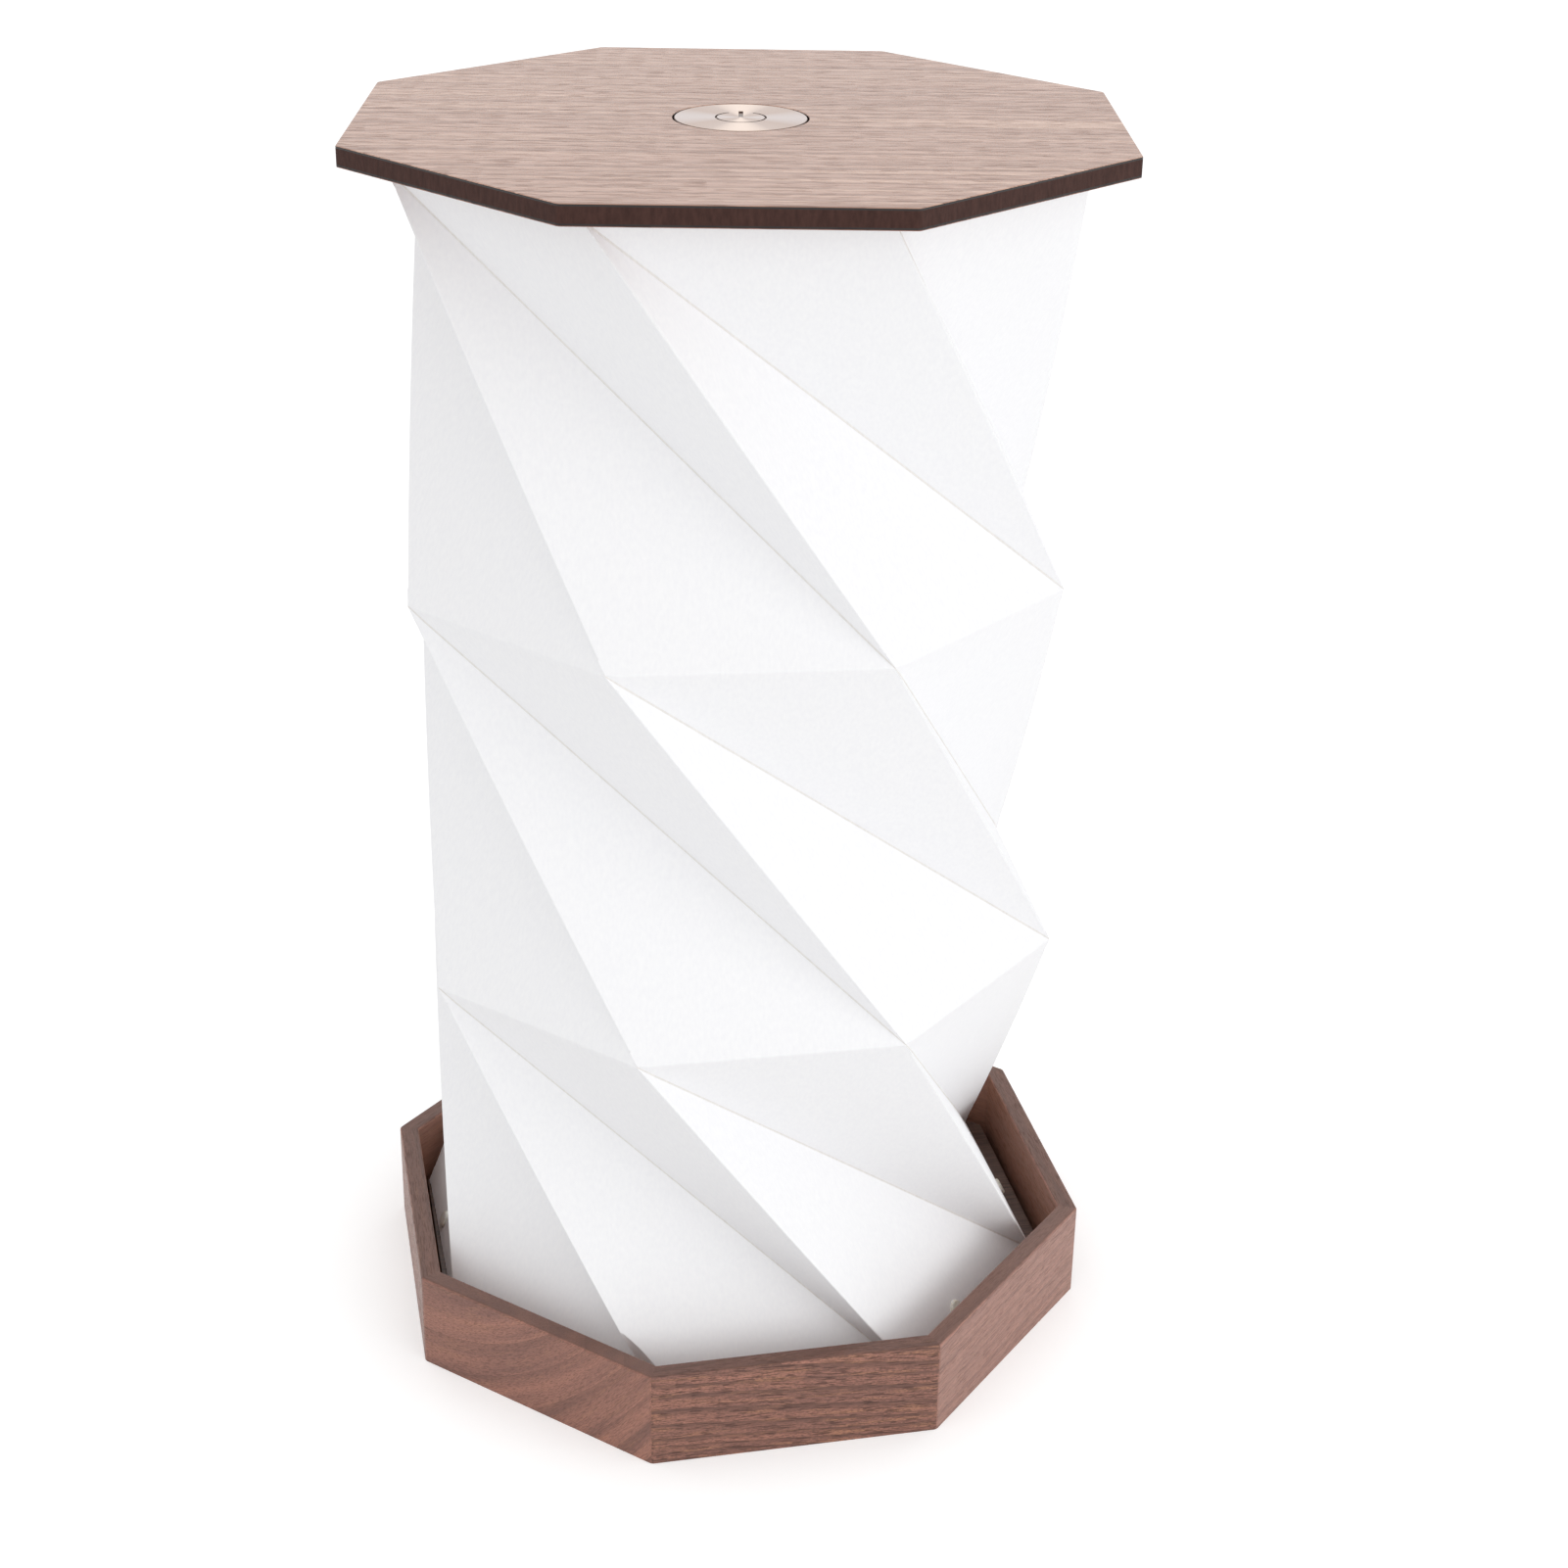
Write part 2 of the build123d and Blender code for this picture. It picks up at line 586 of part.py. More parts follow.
# Button: turned metal cap, kept under the lid by its flange, with an engraved power sign
symbol_arc = 360 - SYMBOL_GAP_ANGLE
symbol_arc_start = 90 + SYMBOL_GAP_ANGLE / 2
with BuildPart() as button_cap:
    with BuildSketch(lid_plane.offset(button_flange_base)):
        Circle(button_flange_radius)
    extrude(amount=BUTTON_FLANGE_THICK)
    with BuildSketch(lid_plane.offset(button_flange_top)):
        Circle(BUTTON_DIA / 2)
    extrude(amount=LAMP_HEIGHT - button_flange_top)
    fillet(button_cap.edges().group_by(Axis.Z)[-1], BUTTON_EDGE_ROUND)
    with BuildSketch(lid_plane.offset(button_flange_base)):
        Circle(BUTTON_DIA / 2 - BUTTON_WALL)
    extrude(amount=button_ceiling - button_flange_base, mode=Mode.SUBTRACT)
    with BuildSketch(lid_plane.offset(plunger_top)):
        Circle(STEM_DIA / 2)
    extrude(amount=button_ceiling - plunger_top)
    with BuildSketch(lid_plane.offset(LAMP_HEIGHT)):
        with BuildLine() as symbol_line:
            CenterArc((0, 0), SYMBOL_DIA / 2, symbol_arc_start, symbol_arc)
        trace(symbol_line.line, line_width=SYMBOL_LINE)
        with Locations((0, SYMBOL_BAR_START)):
            Rectangle(SYMBOL_BAR_WIDTH, SYMBOL_BAR_LENGTH, align=(Align.CENTER, Align.MIN))
    extrude(amount=-SYMBOL_DEPTH, mode=Mode.SUBTRACT)
button_cap.part.label = "button_cap"
export_step(button_cap.part, "parts/button_cap.step")

# Switch plunger: moves with the cap and slides in the switch
with BuildPart() as switch_plunger:
    with BuildSketch(lid_plane.offset(plunger_end)):
        Circle(PLUNGER_DIA / 2)
    extrude(amount=plunger_top - plunger_end)
switch_plunger.part.label = "switch_plunger"
export_step(switch_plunger.part, "parts/switch_plunger.step")

# Push switch: small square body on the switch board
with BuildPart() as push_switch:
    with BuildSketch(lid_plane.offset(switch_base)):
        Rectangle(SWITCH_WIDTH, SWITCH_WIDTH)
    extrude(amount=switch_top - switch_base)
    with BuildSketch(lid_plane.offset(switch_top)):
        Circle(PLUNGER_DIA / 2 + PLUNGER_GAP)
    extrude(amount=plunger_bore_end - switch_top, mode=Mode.SUBTRACT)
push_switch.part.label = "push_switch"
export_step(push_switch.part, "parts/push_switch.step")

# Switch board: round board on the ledge of the housing
with BuildPart() as switch_board:
    with BuildSketch(lid_plane.offset(switch_board_base)):
        Circle(housing_inner_radius - SWITCH_BOARD_GAP)
    extrude(amount=SWITCH_BOARD_THICK)
switch_board.part.label = "switch_board"
export_step(switch_board.part, "parts/switch_board.step")

# Button housing: moulded cup with a flange, screwed up under the lid
with BuildPart() as button_housing:
    with BuildSketch(lid_plane.offset(housing_base)):
        Circle(housing_radius)
    extrude(amount=lid_base - housing_base)
    with BuildSketch(lid_plane.offset(housing_flange_base)):
        Circle(housing_flange_radius)
        with PolarLocations(housing_screw_circle, HOUSING_SCREWS):
            Circle(screw_hole_radius, mode=Mode.SUBTRACT)
    extrude(amount=HOUSING_FLANGE_THICK)
    with BuildSketch(lid_plane.offset(housing_floor_top)):
        Circle(housing_inner_radius - LEDGE_WIDTH)
    extrude(amount=switch_board_base - housing_floor_top, mode=Mode.SUBTRACT)
    with BuildSketch(lid_plane.offset(switch_board_base)):
        Circle(housing_inner_radius)
    extrude(amount=lid_base - switch_board_base, mode=Mode.SUBTRACT)
    with BuildSketch(lid_plane.offset(housing_base)):
        Circle(grommet_hole_radius)
    extrude(amount=HOUSING_FLOOR, mode=Mode.SUBTRACT)
button_housing.part.label = "button_housing"
export_step(button_housing.part, "parts/button_housing.step")

# Housing screws: pan heads, driven up into the core of the lid
with BuildPart() as housing_screws:
    with BuildSketch(lid_plane.offset(housing_flange_base)):
        with PolarLocations(housing_screw_circle, HOUSING_SCREWS):
            Circle(HOUSING_SCREW_DIA / 2)
    extrude(amount=HOUSING_SCREW_LENGTH)
    with BuildSketch(lid_plane.offset(housing_flange_base)):
        with PolarLocations(housing_screw_circle, HOUSING_SCREWS):
            Circle(HOUSING_HEAD_DIA / 2)
    extrude(amount=-HOUSING_HEAD_HEIGHT)
housing_screws.part.label = "housing_screws"
export_step(housing_screws.part, "parts/housing_screws.step")

# Upper grommet: rubber, in the floor of the housing
with BuildPart() as upper_grommet:
    with BuildSketch(lid_plane.offset(housing_base - GROMMET_LIP_THICK)):
        Circle(grommet_lip_radius)
    extrude(amount=GROMMET_LIP_THICK)
    with BuildSketch(lid_plane.offset(housing_base)):
        Circle(grommet_radius)
    extrude(amount=HOUSING_FLOOR)
    with BuildSketch(lid_plane.offset(housing_floor_top)):
        Circle(grommet_lip_radius)
    extrude(amount=GROMMET_LIP_THICK)
    with Locations(upper_grommet.faces().sort_by(Axis.Z)[-1]):
        Hole(lead_bore_radius)
upper_grommet.part.label = "upper_grommet"
export_step(upper_grommet.part, "parts/upper_grommet.step")

# Switch lead: thin round lead inside the shade, from the switch board down to the light
lead_base = diffuser_ceiling - GROMMET_LIP_THICK - LEAD_TAIL
with BuildPart() as switch_lead:
    with BuildSketch(Plane.XY.offset(lead_base)):
        Circle(LEAD_DIA / 2)
    extrude(amount=switch_board_base - lead_base)
switch_lead.part.label = "switch_lead"
export_step(switch_lead.part, "parts/switch_lead.step")
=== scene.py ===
import math

import bmesh
import bpy
from mathutils import Matrix, Vector
from mathutils.interpolate import poly_3d_calc


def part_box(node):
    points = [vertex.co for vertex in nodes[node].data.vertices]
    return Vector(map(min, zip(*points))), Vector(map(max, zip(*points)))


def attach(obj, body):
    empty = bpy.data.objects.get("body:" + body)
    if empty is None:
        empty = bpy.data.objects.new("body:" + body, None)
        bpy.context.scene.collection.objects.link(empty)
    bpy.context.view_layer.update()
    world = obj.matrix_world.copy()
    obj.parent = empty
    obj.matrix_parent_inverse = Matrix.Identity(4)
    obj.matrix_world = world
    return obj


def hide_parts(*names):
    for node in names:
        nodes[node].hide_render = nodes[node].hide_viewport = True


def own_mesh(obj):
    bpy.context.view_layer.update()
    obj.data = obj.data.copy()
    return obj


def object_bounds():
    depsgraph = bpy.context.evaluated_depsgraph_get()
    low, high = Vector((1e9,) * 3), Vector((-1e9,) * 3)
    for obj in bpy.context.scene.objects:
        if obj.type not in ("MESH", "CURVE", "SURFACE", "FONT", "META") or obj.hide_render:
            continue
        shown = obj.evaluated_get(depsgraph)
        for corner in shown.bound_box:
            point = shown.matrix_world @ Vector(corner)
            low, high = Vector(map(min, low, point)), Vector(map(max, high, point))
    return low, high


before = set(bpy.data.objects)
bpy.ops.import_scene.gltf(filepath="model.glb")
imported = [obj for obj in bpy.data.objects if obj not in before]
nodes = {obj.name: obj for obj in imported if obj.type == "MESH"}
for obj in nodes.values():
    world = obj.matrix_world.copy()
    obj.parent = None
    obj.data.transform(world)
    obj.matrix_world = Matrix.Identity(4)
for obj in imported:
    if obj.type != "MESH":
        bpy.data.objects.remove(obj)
cad_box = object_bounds()
scene = bpy.context.scene
MM = 0.001

# Camera: a short telephoto close in front of the lamp, a little to its left and above its lid.
# It looks down far enough to show the lid's top and the inside of the tray's rim.
CAMERA_BEARING = math.radians(-100.92)
CAMERA_REACH = 529.95 * MM
CAMERA_HEIGHT = 371.63 * MM
CAMERA_HEADING = math.radians(-12.083)
CAMERA_DIP = math.radians(25.25)
CAMERA_ROLL = math.radians(1.008)
CAMERA_LENS = 61.44
CAMERA_SENSOR = 36.0
camera = bpy.data.objects.new("camera", bpy.data.cameras.new("camera"))
camera.data.lens = CAMERA_LENS
camera.data.sensor_width = CAMERA_SENSOR
camera.location = (
    CAMERA_REACH * math.cos(CAMERA_BEARING),
    CAMERA_REACH * math.sin(CAMERA_BEARING),
    CAMERA_HEIGHT,
)
camera.rotation_euler = (
    Matrix.Rotation(CAMERA_HEADING, 3, "Z")
    @ Matrix.Rotation(math.pi / 2 - CAMERA_DIP, 3, "X")
    @ Matrix.Rotation(CAMERA_ROLL, 3, "Z")
).to_euler()
scene.collection.objects.link(camera)
scene.camera = camera
scene.view_settings.view_transform = "Standard"

# Studio: a white sweep under an even white sky, with a large softbox on the right and a low one in front.
# The sweep shows white to the eye, and keeps the lamp's soft shadow on it.
SKY_LEVEL = 0.93
SWEEP_FILL = 0.3
SWEEP_RADIUS = 6.0
SWEEP_SIDES = 96
# Each softbox's side in metres, its place and its watts
SOFTBOXES = {
    "right_softbox": (1.0, Vector((1.35, -1.15, 0.45)), 4.5),
    "front_softbox": (1.2, Vector((0.35, -1.6, 0.3)), 2.4),
}


def linear(hex_colour):
    """An sRGB hex colour as linear red, green, blue and alpha."""
    shares = [int(hex_colour[i:i + 2], 16) / 255 for i in (0, 2, 4)]
    return [s / 12.92 if s <= 0.04045 else ((s + 0.055) / 1.055) ** 2.4 for s in shares] + [1.0]


def add_node(tree, kind, inputs, **settings):
    """Adds a shader node, with its settings, and its inputs as values or as other nodes' outputs."""
    node = tree.nodes.new("ShaderNode" + kind)
    for name, value in settings.items():
        setattr(node, name, value)
    for name, value in inputs.items():
        if isinstance(value, bpy.types.NodeSocket):
            tree.links.new(value, node.inputs[name])
        else:
            node.inputs[name].default_value = value
    return node


def seen_directly(tree):
    """1 for what the eye sees, straight on, in a reflection or through glass, and 0 for bounced light."""
    path = add_node(tree, "LightPath", {})
    mirrored = add_node(
        tree, "Math", {0: path.outputs["Is Camera Ray"], 1: path.outputs["Is Glossy Ray"]},
        operation="MAXIMUM",
    )
    return add_node(
        tree, "Math", {0: mirrored.outputs[0], 1: path.outputs["Is Transmission Ray"]},
        operation="MAXIMUM",
    ).outputs[0]


sky = bpy.data.worlds.new("white_sky")
sky.use_nodes = True
sky_tree = sky.node_tree
sky_tree.nodes.clear()
sky_level = add_node(
    sky_tree, "MapRange", {"Value": seen_directly(sky_tree), "To Min": SKY_LEVEL, "To Max": 1.0}
)
sky_light = add_node(
    sky_tree, "Background", {"Color": linear("ffffff"), "Strength": sky_level.outputs[0]}
)
add_node(sky_tree, "OutputWorld", {"Surface": sky_light.outputs[0]})
scene.world = sky

sweep_paint = bpy.data.materials.new("white_sweep")
sweep_paint.use_nodes = True
sweep_tree = sweep_paint.node_tree
sweep_tree.nodes.clear()
sweep_fill = add_node(
    sweep_tree, "MapRange", {"Value": seen_directly(sweep_tree), "To Max": SWEEP_FILL}
)
sweep_matt = add_node(sweep_tree, "BsdfDiffuse", {"Color": linear("f2f2f2")})
sweep_glow = add_node(
    sweep_tree, "Emission", {"Color": linear("ffffff"), "Strength": sweep_fill.outputs[0]}
)
sweep_sum = add_node(sweep_tree, "AddShader", {0: sweep_matt.outputs[0], 1: sweep_glow.outputs[0]})
add_node(sweep_tree, "OutputMaterial", {"Surface": sweep_sum.outputs[0]})


def new_object(name, shape, *materials):
    """A mesh object at the origin, made from a finished bmesh, with its materials in order."""
    mesh = bpy.data.meshes.new(name)
    shape.to_mesh(mesh)
    shape.free()
    for material in materials:
        mesh.materials.append(material)
    made = bpy.data.objects.new(name, mesh)
    scene.collection.objects.link(made)
    return made


sweep_shape = bmesh.new()
bmesh.ops.create_circle(sweep_shape, cap_ends=True, segments=SWEEP_SIDES, radius=SWEEP_RADIUS)
sweep = new_object("sweep", sweep_shape, sweep_paint)

lamp_middle = (cad_box[0] + cad_box[1]) / 2
for name, (side, place, watts) in SOFTBOXES.items():
    softbox = bpy.data.objects.new(name, bpy.data.lights.new(name, "AREA"))
    softbox.data.size = side
    softbox.data.energy = watts
    softbox.location = place
    softbox.rotation_euler = (lamp_middle - place).to_track_quat("-Z", "Y").to_euler()
    scene.collection.objects.link(softbox)

# Felt pad: dark wool felt glued under the tray, so that it doesn't scratch a bedside table.
# Pressed felt has no weave, only short matted fibres that give a soft, uneven grey-brown.

# Noise stays mostly between these two levels, and is spread out to the full range
NOISE_LOW = 0.3
NOISE_HIGH = 0.7


def new_material(name, roughness, colour, **sockets):
    """A material with one Principled shader at those values; returns it, its tree and its shader."""
    material = bpy.data.materials.new(name)
    material.use_nodes = True
    shader = material.node_tree.nodes["Principled BSDF"]
    shader.inputs["Roughness"].default_value = roughness
    shader.inputs["Base Color"].default_value = linear(colour)
    for socket, value in sockets.items():
        shader.inputs[socket.replace("_", " ")].default_value = value
    return material, material.node_tree, shader


def dress(material, *node_names):
    """Puts a material on CAD nodes."""
    for node_name in node_names:
        for holder in nodes[node_name].material_slots:
            holder.material = material


def mottle(tree, shader, size, colours, bump, detail=3.0):
    """Colours a shader between two tones, in patches of a real size along x, y and z, with relief."""
    place = add_node(tree, "TexCoord", {}).outputs["Object"]
    sized = add_node(
        tree, "Mapping", {"Vector": place, "Scale": [s * MM for s in size]}, vector_type="TEXTURE"
    )
    patches = add_node(tree, "TexNoise", {"Vector": sized.outputs[0], "Scale": 1.0, "Detail": detail})
    spread = add_node(
        tree, "MapRange", {"Value": patches.outputs[0], "From Min": NOISE_LOW, "From Max": NOISE_HIGH}
    )
    tones = add_node(
        tree, "Mix", {0: spread.outputs[0], 6: linear(colours[0]), 7: linear(colours[1])},
        data_type="RGBA",
    )
    tree.links.new(tones.outputs[2], shader.inputs["Base Color"])
    relief = add_node(
        tree, "Bump", {"Height": patches.outputs[0], "Strength": bump, "Distance": min(size) * MM}
    )
    tree.links.new(relief.outputs[0], shader.inputs["Normal"])


felt, felt_tree, felt_shader = new_material("pressed_wool_felt", 0.95, "40372f", Sheen_Weight=0.3)
mottle(felt_tree, felt_shader, (0.9, 0.9, 0.9), ("2e2823", "4d433a"), bump=0.6)
dress(felt, "base_pad")

# Tray floor: a thin board let into the rim from below, glued to its eight strips.
# It is the same walnut, only oiled, so it is matt and shows its grain from front to back.
FLOOR_GRAIN = (1.2, 45.0, 1.2)
floor_board, floor_tree, floor_shader = new_material("oiled_walnut_board", 0.7, "76513f")
mottle(floor_tree, floor_shader, FLOOR_GRAIN, ("64432f", "8a6149"), bump=0.15)
dress(floor_board, "tray_floor")

# Tray rim: eight strips of solid black walnut, mitred and glued into an octagon, then lacquered satin.
# Each strip's grain runs along it. Walnut gives broad brown bands, dark growth lines that end sharply,
# orange gleams, fine flecks and short dark open pores. The front's left strip has a curl in its grain.
RIM_ORDER = (
    "rim_right", "rim_rear_right", "rim_rear", "rim_rear_left",
    "rim_left", "rim_front_left", "rim_front", "rim_front_right",
)
RIM_TONES = {
    "light": "a87361", "dark": "855b4f", "ring": "563930",
    "gleam": "b07c5c", "fleck": "64453b", "pore": "40271f",
}
# Paler, pinker tones for the front's right strip: painted light and glare from the right
PAINTED_LIGHT_STRIP_TONES = {
    "light": "a97a6b", "dark": "8d675b", "ring": "6c4b41",
    "gleam": "b88a75", "fleck": "75544a", "pore": "5a3f36",
}
# Darker tone on the strips' tops: painted shade
RIM_TOP_SHADE_TONE = "5c4036"
RIM_INNER_TONE = "8d6351"
RIM_SLANTS = {"rim_front": -3.0, "rim_front_right": 3.0}
RIM_CURLS = {"rim_front_left": 11.0}
RIM_VIGOUR = {"rim_front_left": 0.8, "rim_front": 1.1, "rim_front_right": 0.6}
RIM_HALF_LENGTH = 31 * MM
STRIP_SHIFT = 0.21
# Each layer of the wood: its detail, and the pattern levels at which it starts and is full
WOOD_LAYERS = {
    "dark": (3.0, 0.36, 0.64), "ring": (2.0, 0.5, 1.0), "gleam": (2.0, 0.52, 0.7),
    "fleck": (1.0, 0.4, 0.7), "pore": (0.0, 0.57, 0.62),
}
GROWTH_WANDER = 9.0
GROWTH_WANDER_SCALE = 0.5
# The scale at which a diagonal wave texture has one wave in each unit of its coordinates
ONE_WAVE = math.tau / 10
PORE_DULLNESS = 0.3
PORE_RELIEF = 0.25
PORE_DEPTH = 0.1 * MM


def walnut(name, turn, tones, sizes, slant=0.0, curl=0.0, vigour=1.0, shift=0.0, roughness=0.4):
    """Lacquered walnut, its grain along Y turned about Z, in layers of (mm across, mm along, amount).

    Drift is how far the grain strays, in mm, and over what length. Slant tilts the grain by degrees,
    curl bends it up along the piece, per metre, and vigour is how strongly it is marked.
    """
    material, tree, shader = new_material(name, roughness, tones["light"], IOR=1.5)
    place = add_node(tree, "TexCoord", {}).outputs["Object"]
    stray, stray_length = sizes["drift"]
    drift = add_node(
        tree, "TexNoise", {"Vector": place, "Scale": 1 / (stray_length * MM), "Detail": 1.0}
    )
    grain = add_node(
        tree, "VectorMath", {0: drift.outputs["Color"], 1: [stray * MM] * 3, 2: place},
        operation="MULTIPLY_ADD",
    )
    if curl:
        lengthwise = add_node(
            tree, "VectorMath", {0: place, 1: (-math.sin(turn), math.cos(turn), 0)},
            operation="DOT_PRODUCT",
        )
        from_end = add_node(
            tree, "Math", {0: lengthwise.outputs["Value"], 1: RIM_HALF_LENGTH}, operation="ADD"
        )
        bend = add_node(tree, "Math", {0: from_end.outputs[0], 1: 2.0}, operation="POWER")
        lift = add_node(tree, "CombineXYZ", {"Z": bend.outputs[0]})
        grain = add_node(
            tree, "VectorMath", {0: lift.outputs[0], 1: (0, 0, -curl), 2: grain.outputs[0]},
            operation="MULTIPLY_ADD",
        )
    colour = linear(tones["light"])
    for layer, (detail, low, high) in WOOD_LAYERS.items():
        across, along, amount = sizes[layer]
        sized = add_node(
            tree, "Mapping",
            {
                "Vector": grain.outputs[0],
                "Location": (shift, shift, shift),
                "Rotation": (math.radians(slant), 0, turn),
                "Scale": (across * MM, along * MM, across * MM),
            },
            vector_type="TEXTURE",
        )
        if layer == "ring":
            lines = add_node(
                tree, "TexWave",
                {
                    "Vector": sized.outputs[0], "Scale": ONE_WAVE, "Distortion": GROWTH_WANDER,
                    "Detail": detail, "Detail Scale": GROWTH_WANDER_SCALE,
                },
                wave_type="BANDS", bands_direction="DIAGONAL", wave_profile="SAW",
            ).outputs["Fac"]
        else:
            lines = add_node(
                tree, "TexNoise", {"Vector": sized.outputs[0], "Scale": 1.0, "Detail": detail}
            ).outputs[0]
        share = add_node(
            tree, "MapRange",
            {"Value": lines, "From Min": low, "From Max": high, "To Max": min(1.0, amount * vigour)},
        )
        stain = add_node(
            tree, "Mix", {0: share.outputs[0], 6: colour, 7: linear(tones[layer])}, data_type="RGBA"
        )
        colour = stain.outputs[2]
    # The last layer, the open pores, is dull and a little sunk
    gloss = add_node(
        tree, "MapRange",
        {"Value": share.outputs[0], "To Min": roughness, "To Max": roughness + PORE_DULLNESS},
    )
    relief = add_node(
        tree, "Bump", {"Height": share.outputs[0], "Strength": PORE_RELIEF, "Distance": PORE_DEPTH},
        invert=True,
    )
    tree.links.new(colour, shader.inputs["Base Color"])
    tree.links.new(gloss.outputs[0], shader.inputs["Roughness"])
    tree.links.new(relief.outputs[0], shader.inputs["Normal"])
    return material, tree, shader, colour


# The strips' narrow tops and their inner faces were planed smooth, so their grain is calmer. The tops
# also take a darker tone, which is painted shade.
PLANED_DEPTH = 0.2 * MM
PLANED_AND_SHADE_SHARE = 0.7
RIM_GRAIN = {
    "drift": (1.5, 60.0), "dark": (1.6, 45.0, 0.8), "ring": (3.0, 160.0, 0.75),
    "gleam": (1.0, 14.0, 0.6), "fleck": (0.25, 0.7, 0.7), "pore": (0.2, 3.2, 0.65),
}
CURLED_GRAIN = RIM_GRAIN | {
    "dark": (4.0, 45.0, 1.2), "ring": (10.0, 160.0, 0.5), "gleam": (1.5, 9.0, 0.3),
    "fleck": (0.25, 0.7, 0.6), "pore": (0.2, 1.3, 0.4),
}
for number, strip in enumerate(RIM_ORDER):
    strip_turn = math.tau / len(RIM_ORDER) * number
    strip_wood, strip_tree, strip_shader, strip_colour = walnut(
        "lacquered_walnut_" + strip, strip_turn,
        PAINTED_LIGHT_STRIP_TONES if strip == "rim_front_right" else RIM_TONES,
        CURLED_GRAIN if strip in RIM_CURLS else RIM_GRAIN,
        slant=RIM_SLANTS.get(strip, 0.0), curl=RIM_CURLS.get(strip, 0.0),
        vigour=RIM_VIGOUR.get(strip, 1.0), shift=STRIP_SHIFT * number,
    )
    strip_place = add_node(strip_tree, "TexCoord", {}).outputs["Object"]
    inwards = Vector((-math.cos(strip_turn), -math.sin(strip_turn), 0))
    # Calmer tone on the planed faces; on the tops it is darker, as painted shade
    for way, tone in ((Vector((0, 0, 1)), RIM_TOP_SHADE_TONE), (inwards, RIM_INNER_TONE)):
        planed_level = max(vert.co.dot(way) for vert in nodes[strip].data.vertices)
        level = add_node(strip_tree, "VectorMath", {0: strip_place, 1: way}, operation="DOT_PRODUCT")
        planed_and_shaded = add_node(
            strip_tree, "MapRange",
            {
                "Value": level.outputs["Value"], "From Min": planed_level - PLANED_DEPTH,
                "From Max": planed_level - PLANED_DEPTH / 4, "To Max": PLANED_AND_SHADE_SHARE,
            },
        )
        strip_colour = add_node(
            strip_tree, "Mix", {0: planed_and_shaded.outputs[0], 6: strip_colour, 7: linear(tone)}, data_type="RGBA"
        ).outputs[2]
    strip_tree.links.new(strip_colour, strip_shader.inputs["Base Color"])
    dress(strip_wood, strip)

# Battery: a flat lithium cell in a crimped aluminium foil pouch, taped to the tray's floor.
# The foil is dull silver, with soft dents from the winding inside.
pouch, pouch_tree, pouch_shader = new_material("laminated_foil_pouch", 0.35, "c4c5c8", Metallic=1.0)
mottle(pouch_tree, pouch_shader, (5.0, 5.0, 5.0), ("b6b8bc", "cfd0d2"), bump=0.4)
dress(pouch, "battery")

# Wires: pairs of thin stranded wires with soft insulation, red on one side and black on the other.
# They run from the battery to the charging board, and from that board up to the light.
wire_jacket, wire_tree, wire_shader = new_material("soft_wire_insulation", 0.45, "9c1f1c")
wire_place = add_node(wire_tree, "TexCoord", {}).outputs["Object"]
wire_parts = add_node(wire_tree, "SeparateXYZ", {0: wire_place})
wire_side = add_node(wire_tree, "Math", {0: wire_parts.outputs["X"], 1: 0.0}, operation="GREATER_THAN")
wire_tone = add_node(
    wire_tree, "Mix", {0: wire_side.outputs[0], 6: linear("1d1c1c"), 7: linear("9c1f1c")},
    data_type="RGBA",
)
wire_tree.links.new(wire_tone.outputs[2], wire_shader.inputs["Base Color"])
dress(wire_jacket, "battery_wires", "led_wires")

# Circuit boards: glass-fibre laminate under green solder mask, for charging and for the switch.
# The weave of the glass shows through the mask as a faint square texture.
BOARD_WEAVE = (0.7, 0.7, 0.7)
board_mask, board_tree, board_shader = new_material("green_solder_mask", 0.35, "1b5a35")
mottle(board_tree, board_shader, BOARD_WEAVE, ("17502e", "22683f"), bump=0.1, detail=1.0)
dress(board_mask, "charge_board", "switch_board")

# Chips and switch: black moulded epoxy and nylon, matt with a fine spark-eroded grain.
# The grain is drawn about three times as coarse as it is, so that it shows.
chip_plastic, chip_tree, chip_shader = new_material("black_moulded_epoxy", 0.6, "1c1c1d")
mottle(chip_tree, chip_shader, (0.15, 0.15, 0.15), ("171718", "232325"), bump=0.2, detail=1.0)
dress(chip_plastic, "board_chips", "push_switch", "switch_plunger", "port_tongue")

# Metal fittings: nickel-plated steel screws and charging socket, and brass standoffs under the plate.
# Plated steel is bright with fine rolling marks; turned brass is yellow and a little duller.
plated_steel, steel_tree, steel_shader = new_material("nickel_plated_steel", 0.3, "cfc9bd", Metallic=1.0)
mottle(steel_tree, steel_shader, (0.3, 3.0, 0.3), ("c2bbae", "d9d3c8"), bump=0.08)
dress(plated_steel, "charge_port", "cover_screws", "led_screws", "housing_screws")
brass, brass_tree, brass_shader = new_material("turned_brass", 0.35, "c9a35c", Metallic=1.0)
mottle(brass_tree, brass_shader, (2.0, 2.0, 0.25), ("bd964f", "d4af6a"), bump=0.1)
dress(brass, "cover_standoffs")

# Cover plate: a thin steel sheet with a dark brown satin coat, screwed down over the electronics.
# Brushing from left to right still shows through the thin coat.
plate_coat, plate_tree, plate_shader = new_material("brown_coated_steel", 0.45, "5b463e", IOR=1.5)
mottle(plate_tree, plate_shader, (14.0, 0.6, 0.6), ("473630", "6c544a"), bump=0.12)
dress(plate_coat, "cover_plate")

